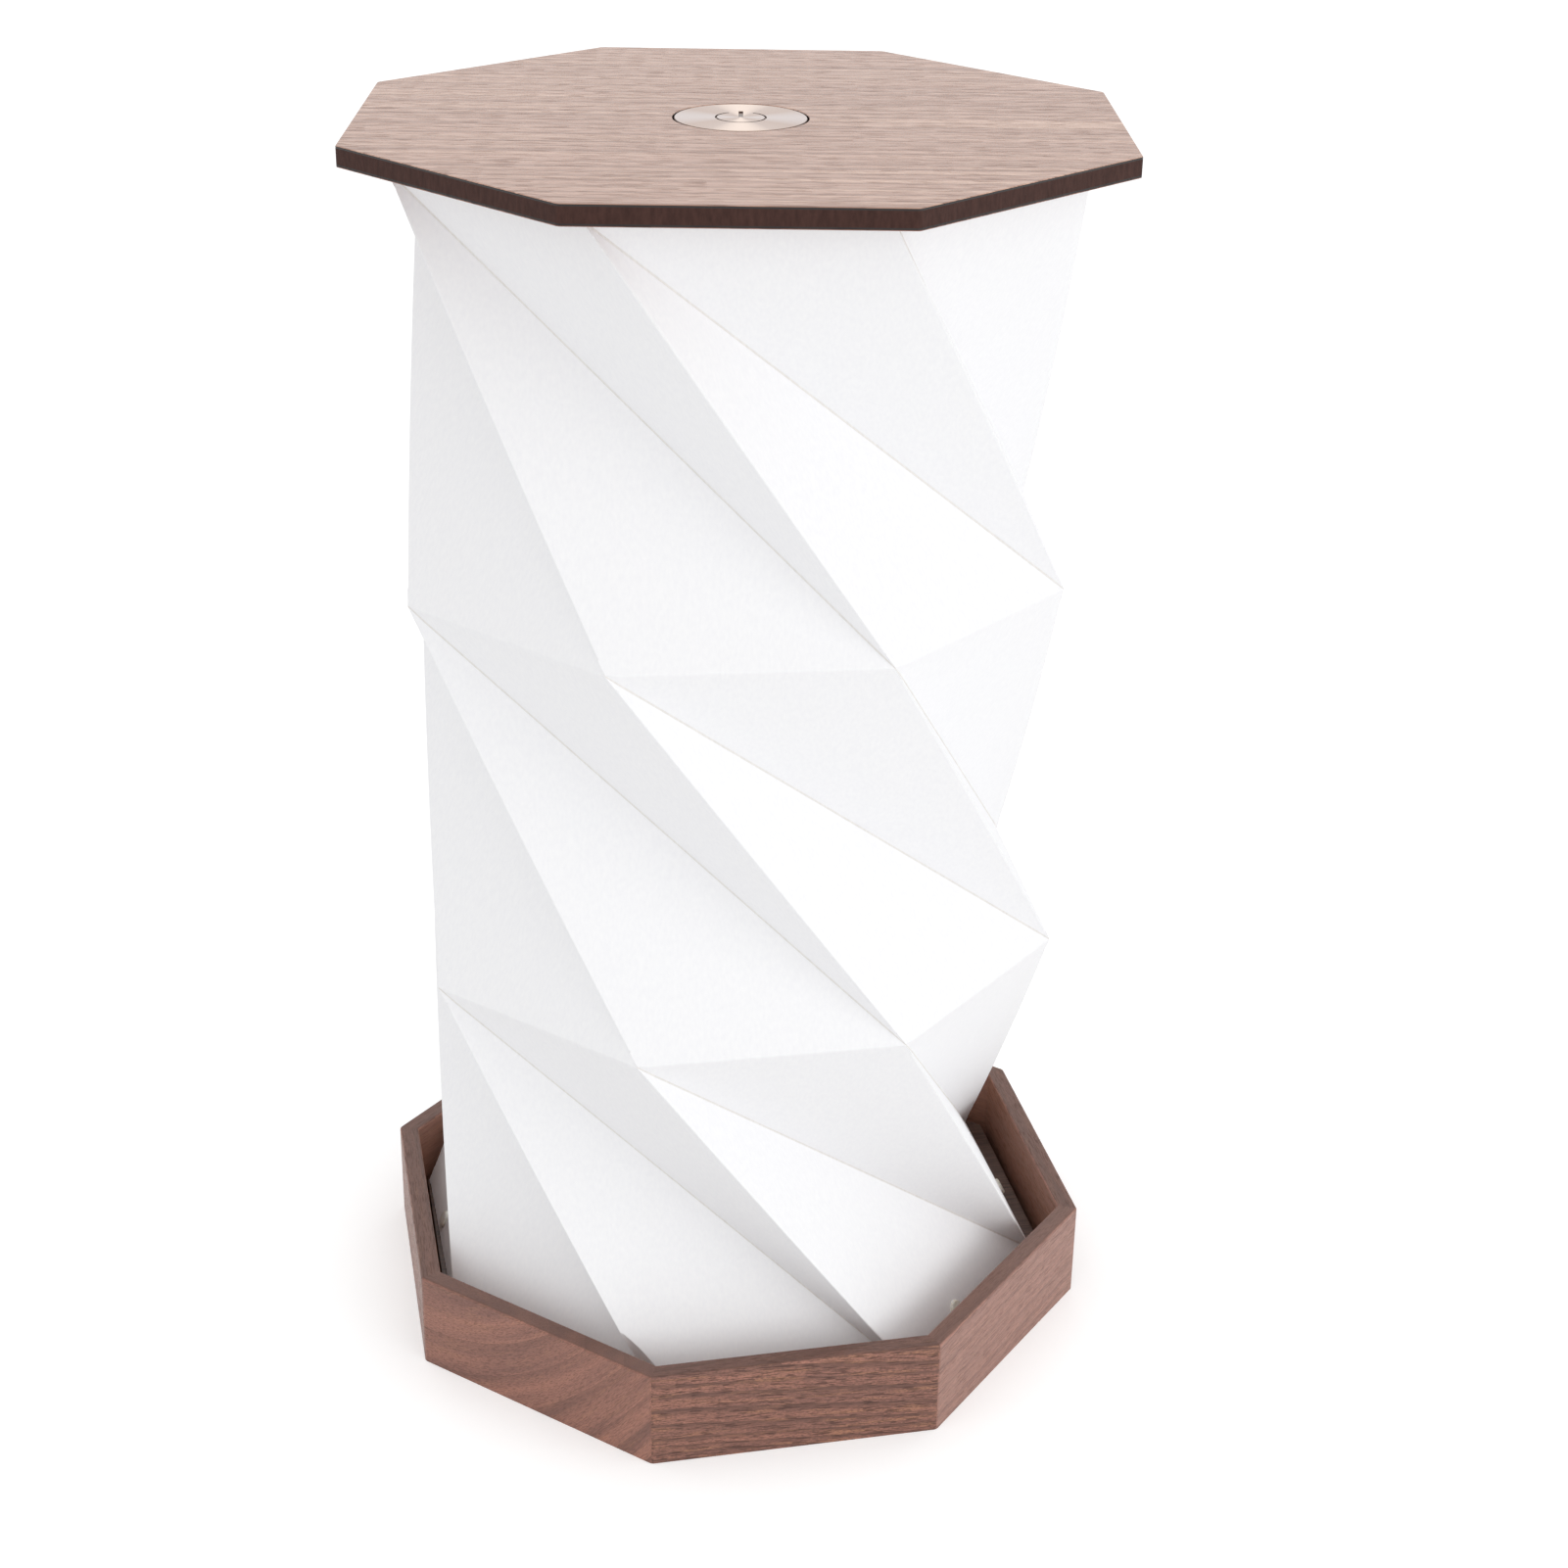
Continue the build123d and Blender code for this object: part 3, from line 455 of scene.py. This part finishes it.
# Light: white-masked aluminium board with twelve diodes under an opal cap.
# The diodes' yellow is the phosphor in clear resin; the cap is milky polycarbonate.
light_mask, light_tree, light_shader = new_material("white_solder_mask", 0.4, "e6e6e3")
mottle(light_tree, light_shader, (4.0, 4.0, 4.0), ("e0e0dc", "ececea"), bump=0.05)
dress(light_mask, "led_board")
phosphor, phosphor_tree, phosphor_shader = new_material("yellow_phosphor_resin", 0.3, "e0c25a")
mottle(phosphor_tree, phosphor_shader, (0.5, 0.5, 0.5), ("d8b84c", "e8cd70"), bump=0.05)
dress(phosphor, "leds")
opal, opal_tree, opal_shader = new_material("opal_polycarbonate", 0.35, "efefec", Subsurface_Weight=0.2)
mottle(opal_tree, opal_shader, (8.0, 8.0, 8.0), ("ebebe7", "f3f3f0"), bump=0.03)
dress(opal, "led_diffuser")

# Grommets: soft black rubber rings where the switch lead passes the diffuser and the housing.
rubber, rubber_tree, rubber_shader = new_material("black_moulded_rubber", 0.8, "242322")
mottle(rubber_tree, rubber_shader, (0.4, 0.4, 0.4), ("1d1c1b", "2c2b29"), bump=0.2)
dress(rubber, "lower_grommet", "upper_grommet")

# Switch lead: two thin insulated wires twisted together, straight down the middle of the shade.
# When the shade folds they gather into the space between the diffuser and the housing.
STRAND_RADIUS = 0.5 * MM
STRAND_SIDES = 10
TWIST_PITCH = 16 * MM
STEPS_A_TURN = 14

lead_low, lead_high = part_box("switch_lead")
lead_length = lead_high.z - lead_low.z
lead_turns = lead_length / TWIST_PITCH
lead_steps = round(lead_turns * STEPS_A_TURN)
lead_shape = bmesh.new()
for side in (1, -1):
    ring = bmesh.ops.create_circle(
        lead_shape, segments=STRAND_SIDES, radius=STRAND_RADIUS,
        matrix=Matrix.Translation((side * STRAND_RADIUS, 0, lead_low.z)),
    )["verts"]
    ring_edges = list({edge for vert in ring for edge in vert.link_edges})
    bmesh.ops.contextual_create(lead_shape, geom=ring_edges)
    twisted = bmesh.ops.spin(
        lead_shape, geom=ring + ring_edges, axis=(0, 0, 1), cent=(0, 0, 0),
        dvec=(0, 0, lead_length / lead_steps), angle=lead_turns * math.tau, steps=lead_steps,
    )["geom_last"]
    bmesh.ops.contextual_create(
        lead_shape, geom=[part for part in twisted if isinstance(part, bmesh.types.BMEdge)]
    )
bmesh.ops.recalc_face_normals(lead_shape, faces=lead_shape.faces)
lead_jacket, lead_tree, lead_shader = new_material("white_wire_insulation", 0.45, "dfddd6")
mottle(lead_tree, lead_shader, (0.3, 0.3, 0.3), ("d8d6cf", "e6e4dd"), bump=0.05)
switch_lead = new_object("twisted_switch_lead", lead_shape, lead_jacket)
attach(switch_lead, "shade")
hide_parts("switch_lead")
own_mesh(switch_lead)

# Paper shade: one sheet of white fibre paper, scored and folded by hand into three tiers of eight
# triangle pairs, its side seam glued and a hem at each end glued to the plate and to the lid's card.
# Creases are a little rounded, valleys show their score as a darker strip, rings sit unevenly, and one
# fold is crushed.
# The score's darker tan is partly crushed fibre and partly painted shade of its groove.
SHADE_SIDES = 8
SHADE_TIERS = 3
SHADE_TURN = math.radians(-11.0)
PAPER_THICK = 0.35 * MM
SEAT_GAP = 0.05 * MM
HEM_WIDTH = 10 * MM
PANEL_CUTS = 27
PANEL_BOW = 0.5 * MM
RIDGE_BOW = 0.6 * MM
CREASE_ANGLE = math.radians(20)
CREASE_ROUND = 0.3 * MM
SCORE_WIDTH = 0.5 * MM
SOFTEST_CREASE = math.radians(12)
MERGE_GAP = 0.01 * MM
LEVEL_GAP = 0.1 * MM
# The crushed fold is pressed straight back near the foot, at the front's left corner
DENT_SIDE = 5
DENT_LENGTH = 18 * MM
DENT_HALF_WIDTH = 3.8 * MM
DENT_DEPTH = 3.8 * MM
DENT_CUTS = 7
DENT_MARGIN = 1.2
# How far the three lower rings sit off their place: turned, moved, and raised towards +X
RING_FAULTS = {
    0: (math.radians(0.84), Vector((-1.1, 1.7, 0.0)) * MM, 0.0),
    1: (0.0, Vector((-0.25, 0.0, -0.4)) * MM, 2.1 * MM),
    2: (0.0, Vector((-1.35, 0.0, -0.6)) * MM, 1.05 * MM),
}

shade_points = [vert.co for vert in nodes["folded_shade"].data.vertices]
foot_reach = max(point.xy.length for point in shade_points if point.z < lamp_middle.z)
ring_reach = max(point.xy.length for point in shade_points if point.z > lamp_middle.z)
shade_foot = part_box("cover_plate")[1].z + SEAT_GAP
shade_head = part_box("shade_top_board")[0].z - SEAT_GAP


def fold_corner(level, number):
    """A corner of the sheet's fold rings, counted up from the foot and round from the right."""
    spin, shift, tilt = RING_FAULTS.get(level, (0.0, Vector(), 0.0))
    turn = math.tau / SHADE_SIDES * (number + 0.5) + SHADE_TURN * level / SHADE_TIERS + spin
    reach = ring_reach if level else foot_reach
    height = shade_foot + (shade_head - shade_foot) * level / SHADE_TIERS + tilt * math.cos(turn)
    return Vector((reach * math.cos(turn), reach * math.sin(turn), height)) + shift


def add_panel(sheet, corners, ridge):
    """One triangle of the sheet, divided finely.

    Its middle, and its outward fold between the two corners of ridge, are swollen as in stiff paper.
    The factors 27 and 4 make the swelling full at the middle of the panel and of the fold.
    """
    first = len(sheet.verts)
    panel = sheet.faces.new([sheet.verts.new(corner) for corner in corners])
    panel.normal_update()
    outwards = panel.normal.copy()
    ridge_way = ((corners[ridge[0]] + corners[ridge[1]]) * Vector((1, 1, 0))).normalized()
    bmesh.ops.subdivide_edges(sheet, edges=panel.edges, cuts=PANEL_CUTS, use_grid_fill=True)
    sheet.verts.ensure_lookup_table()
    for vert in sheet.verts[first:]:
        shares = poly_3d_calc(corners, vert.co)
        vert.co += outwards * PANEL_BOW * 27 * shares[0] * shares[1] * shares[2]
        vert.co += ridge_way * RIDGE_BOW * 4 * shares[ridge[0]] * shares[ridge[1]]


sheet = bmesh.new()
for tier in range(SHADE_TIERS):
    for number in range(SHADE_SIDES):
        upper = fold_corner(tier + 1, number)
        lower = fold_corner(tier, number + 2)
        add_panel(sheet, (upper, fold_corner(tier, number + 1), lower), ridge=(0, 1))
        add_panel(sheet, (upper, lower, fold_corner(tier + 1, number + 1)), ridge=(1, 2))
bmesh.ops.remove_doubles(sheet, verts=sheet.verts, dist=MERGE_GAP)
for reach, height in ((foot_reach, shade_foot), (ring_reach, shade_head)):
    hem_edges = [
        edge for edge in sheet.edges
        if edge.is_boundary and all(abs(vert.co.z - height) < LEVEL_GAP for vert in edge.verts)
    ]
    hem = bmesh.ops.extrude_edge_only(sheet, edges=hem_edges)["geom"]
    bmesh.ops.scale(
        sheet, vec=[1 - HEM_WIDTH / reach] * 2 + [1],
        verts=[part for part in hem if isinstance(part, bmesh.types.BMVert)],
    )
bmesh.ops.recalc_face_normals(sheet, faces=sheet.faces)
creases = [
    edge for edge in sheet.edges if edge.is_manifold and edge.calc_face_angle() > CREASE_ANGLE
]
valleys = [edge for edge in creases if edge.calc_face_angle_signed() < 0]
ridges = [edge for edge in creases if edge.calc_face_angle_signed() >= 0]
scored = bmesh.ops.bevel(
    sheet, geom=valleys, offset=SCORE_WIDTH / 2, offset_type="OFFSET", affect="EDGES",
    segments=1, profile=0.5, material=-1, clamp_overlap=True,
)
for face in scored["faces"]:
    face.material_index = 1
bmesh.ops.bevel(
    sheet, geom=[edge for edge in ridges if edge.is_valid], offset=CREASE_ROUND, offset_type="OFFSET",
    affect="EDGES", segments=2, profile=0.5, material=-1, clamp_overlap=True,
)
dent_corner = fold_corner(0, DENT_SIDE)
dent_line = (fold_corner(1, DENT_SIDE - 1) - dent_corner).normalized()
dent_reach = DENT_MARGIN * DENT_LENGTH
near_dent = [
    edge for edge in sheet.edges
    if any((vert.co - dent_corner).length < dent_reach for vert in edge.verts)
]
bmesh.ops.subdivide_edges(sheet, edges=near_dent, cuts=DENT_CUTS, use_grid_fill=True)
for vert in sheet.verts:
    away = vert.co - dent_corner
    rise = away.dot(dent_line)
    off_line = (away - dent_line * rise).length
    crush = 1 - (rise / DENT_LENGTH) ** 2 - off_line / DENT_HALF_WIDTH
    if crush > 0:
        vert.co.y += DENT_DEPTH * crush
bmesh.ops.solidify(sheet, geom=sheet.faces[:], thickness=PAPER_THICK)
for face in sheet.faces:
    face.smooth = True

shade_paper, paper_tree, paper_shader = new_material("white_fibre_paper", 0.7, "f5f5f6", IOR=1.45)
mottle(paper_tree, paper_shader, (0.6, 0.6, 20.0), ("f3f3f5", "f7f7f8"), bump=0.01)
# Score strips: the tan of crushed fibre, and painted shade of the scored groove
scored_paper_and_shade, scored_shade_tree, scored_shade_shader = new_material("scored_fibre_paper_and_shade", 0.8, "e4e1de", IOR=1.45)
mottle(scored_shade_tree, scored_shade_shader, (0.6, 0.6, 20.0), ("e0ddd9", "e8e5e2"), bump=0.02)
paper_shade = new_object("paper_shade", sheet, shade_paper, scored_paper_and_shade)
paper_shade.data.set_sharp_from_angle(angle=SOFTEST_CREASE)
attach(paper_shade, "shade")
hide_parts("folded_shade")
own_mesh(paper_shade)

# Foot rivets: small pale nylon push rivets through the sheet near its foot, one in each side.
# Each is moulded in one piece: a domed head outside, a short stem and a thin tail inside.
RIVET_SIDES = 32
RIVET_HEAD_RADIUS = 1.95 * MM
RIVET_HEAD_THICK = 0.8 * MM
RIVET_HEAD_ROUND = 0.5 * MM
RIVET_STEM_RADIUS = 1.0 * MM
RIVET_TAIL_RADIUS = 1.5 * MM
RIVET_TAIL_THICK = 0.4 * MM
RIVET_RISE = 3.4 * MM
RIVET_OFFSET = 6.0 * MM
RIVET_SMOOTH = math.radians(40)

rivet_shape = bmesh.new()
for number in range(SHADE_SIDES):
    start = fold_corner(0, number + 1)
    end = fold_corner(0, number + 2)
    along = (end - start).normalized()
    outwards = along.cross(fold_corner(1, number) - start).normalized()
    rise = outwards.cross(along)
    seat = (start + end) / 2 - along * RIVET_OFFSET + rise * RIVET_RISE
    on_panel = Matrix.Translation(seat) @ Matrix((along, rise, outwards)).transposed().to_4x4()
    for radius, low, high in (
        (RIVET_TAIL_RADIUS, -PAPER_THICK - RIVET_TAIL_THICK, -PAPER_THICK),
        (RIVET_STEM_RADIUS, -PAPER_THICK, 0.0),
        (RIVET_HEAD_RADIUS, 0.0, RIVET_HEAD_THICK),
    ):
        turned = bmesh.ops.create_cone(
            rivet_shape, cap_ends=True, segments=RIVET_SIDES, radius1=radius, radius2=radius,
            depth=high - low, matrix=on_panel @ Matrix.Translation((0, 0, (low + high) / 2)),
        )["verts"]
    crown = {vert for vert in turned if (vert.co - seat).dot(outwards) > RIVET_HEAD_THICK / 2}
    crown_edges = [edge for edge in rivet_shape.edges if set(edge.verts) <= crown]
    bmesh.ops.bevel(
        rivet_shape, geom=crown_edges, offset=RIVET_HEAD_ROUND, offset_type="OFFSET",
        affect="EDGES", segments=5, profile=0.5, material=-1,
    )
for face in rivet_shape.faces:
    face.smooth = True
rivet_nylon, rivet_tree, rivet_shader = new_material("cream_nylon", 0.4, "efe6d8", Subsurface_Weight=0.15)
mottle(rivet_tree, rivet_shader, (1.5, 1.5, 1.5), ("e9dfcf", "f4ece0"), bump=0.03)
push_rivets = new_object("push_rivets", rivet_shape, rivet_nylon)
push_rivets.data.set_sharp_from_angle(angle=RIVET_SMOOTH)
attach(push_rivets, "base")
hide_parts("foot_rivets")

# Card: an octagon of grey board that carries the shade's upper hem and is glued under the lid.
card, card_tree, card_shader = new_material("grey_board", 0.85, "cfcdc8")
mottle(card_tree, card_shader, (1.5, 1.5, 1.5), ("c6c4be", "d8d6d1"), bump=0.15)
dress(card, "shade_top_board")

# Lid: a thin dark-stained fibreboard with walnut veneer pressed on both faces, lacquered satin.
# The top sheet's grain runs from left to right. Its cut edges took the same dark stain as the core.
# Its pores are drawn about twice as wide as they are, so that they show.
LID_TURN = SHADE_TURN - math.pi / 2
# The top sheet's tones are paler than the rim's walnut: painted sheen of the light on its lacquer
LID_TONES_WITH_PAINTED_SHEEN = {
    "light": "d0a793", "dark": "b08774", "ring": "8e6757",
    "gleam": "e2bca5", "fleck": "a67d6b", "pore": "705043",
}
LID_GRAIN = {
    "drift": (1.2, 50.0), "dark": (0.8, 160.0, 0.8), "ring": (4.5, 400.0, 0.75),
    "gleam": (2.4, 200.0, 0.8), "fleck": (0.3, 1.5, 0.35), "pore": (0.3, 5.0, 0.5),
}
EDGE_STAIN = "160a08"
VENEER_FACE = 0.14 * MM


def stain_edge(tree, shader, colour, face_height, inward):
    """Darkens what lies more than the veneer's face depth behind its face, which is its cut edge."""
    place = add_node(tree, "SeparateXYZ", {0: add_node(tree, "TexCoord", {}).outputs["Object"]})
    behind = add_node(
        tree, "Math", {0: place.outputs["Z"], 1: face_height + inward * VENEER_FACE},
        operation="LESS_THAN" if inward < 0 else "GREATER_THAN",
    )
    edged = add_node(
        tree, "Mix", {0: behind.outputs[0], 6: colour, 7: linear(EDGE_STAIN)}, data_type="RGBA"
    )
    tree.links.new(edged.outputs[2], shader.inputs["Base Color"])


top_veneer, top_tree, top_shader, top_colour = walnut(
    "lacquered_walnut_veneer", LID_TURN, LID_TONES_WITH_PAINTED_SHEEN, LID_GRAIN, roughness=0.25
)
stain_edge(top_tree, top_shader, top_colour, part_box("lid_veneer_top")[1].z, -1)
dress(top_veneer, "lid_veneer_top")
low_veneer, low_tree, low_shader, low_colour = walnut(
    "lacquered_walnut_backing", LID_TURN, RIM_TONES, LID_GRAIN, shift=0.4, roughness=0.5
)
stain_edge(low_tree, low_shader, low_colour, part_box("lid_veneer_bottom")[0].z, 1)
dress(low_veneer, "lid_veneer_bottom")
core, core_tree, core_shader = new_material("stained_fibreboard", 0.7, "3f2823", Specular_IOR_Level=0.2)
mottle(core_tree, core_shader, (0.8, 0.8, 2.5), ("38221d", "472e28"), bump=0.15)
dress(core, "lid_core")

# Switch housing: a white moulded cup screwed up under the lid, which holds the switch and the button.
housing, housing_tree, housing_shader = new_material("white_moulded_nylon", 0.55, "e2e1dd")
mottle(housing_tree, housing_shader, (0.4, 0.4, 0.4), ("dcdbd6", "e8e7e4"), bump=0.08)
dress(housing, "button_housing")

# Button: a turned aluminium cap, anodised brown, whose face was then spun bright; the engraved power
# sign and the flank keep the brown, which on the flank and the face's lower edge is also painted shade
# of the gap round the cap. Its turning marks, 0.05 mm apart and drawn at six times that so that they
# show, spread its gloss in fans; the face's tint paints these fans in again as painted highlights,
# since this even light shows them only weakly.
SPIN_PITCH = 0.3 * MM
SPIN_RELIEF = 0.03
SPIN_DEPTH = 0.02 * MM
FACE_DEPTH = 0.06 * MM
FACE_TONE = "ceb9ae"
SIGN_AND_GAP_SHADE_TONE = "75625a"
# Painted highlight fans at the sides, then those at the front and back: where each is full, where it
# ends, its tone
PAINTED_HIGHLIGHT_FANS = ((1.0, 0.3, "dfd4d1"), (-1.0, -0.55, "f6dfcf"))
button_metal, button_tree, button_shader = new_material(
    "champagne_anodised_aluminium", 0.3, "e8d3c7", Metallic=1.0, Anisotropic=0.75
)
button_place = add_node(button_tree, "TexCoord", {}).outputs["Object"]
button_parts = add_node(button_tree, "SeparateXYZ", {0: button_place})
rings = add_node(
    button_tree, "TexWave",
    {"Vector": button_place, "Scale": math.tau / (20 * SPIN_PITCH), "Distortion": 0.0},
    wave_type="RINGS", rings_direction="Z",
)
ring_relief = add_node(
    button_tree, "Bump", {"Height": rings.outputs["Fac"], "Strength": SPIN_RELIEF, "Distance": SPIN_DEPTH}
)
spun = add_node(button_tree, "Tangent", {}, direction_type="RADIAL", axis="Z")
button_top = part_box("button_cap")[1].z
# Below the face: the sign and flank in brown anodising, which on the flank and edge is also painted shade
# of the gap
below_face = add_node(
    button_tree, "Math", {0: button_parts.outputs["Z"], 1: button_top - FACE_DEPTH}, operation="LESS_THAN"
)
# Painted highlights: the face's tint is lighter in two pairs of fans round the button, fixed towards the
# light
bearing = add_node(
    button_tree, "Math", {0: button_parts.outputs["Y"], 1: button_parts.outputs["X"]}, operation="ARCTAN2"
)
twice_round = add_node(
    button_tree, "Math", {0: bearing.outputs[0], 1: 2.0, 2: -2 * SHADE_TURN}, operation="MULTIPLY_ADD"
)
painted_fans = add_node(button_tree, "Math", {0: twice_round.outputs[0]}, operation="COSINE")
face_tone_and_painted_fans = linear(FACE_TONE)
for peak, foot, tone in PAINTED_HIGHLIGHT_FANS:
    painted_fan_share = add_node(
        button_tree, "MapRange", {"Value": painted_fans.outputs[0], "From Min": foot, "From Max": peak}
    )
    face_tone_and_painted_fans = add_node(
        button_tree, "Mix", {0: painted_fan_share.outputs[0], 6: face_tone_and_painted_fans, 7: linear(tone)}, data_type="RGBA"
    ).outputs[2]
sign_and_gap_shade = add_node(
    button_tree, "Mix", {0: below_face.outputs[0], 6: face_tone_and_painted_fans, 7: linear(SIGN_AND_GAP_SHADE_TONE)}, data_type="RGBA"
)
button_tree.links.new(sign_and_gap_shade.outputs[2], button_shader.inputs["Base Color"])
button_tree.links.new(ring_relief.outputs[0], button_shader.inputs["Normal"])
button_tree.links.new(spun.outputs[0], button_shader.inputs["Tangent"])
dress(button_metal, "button_cap")
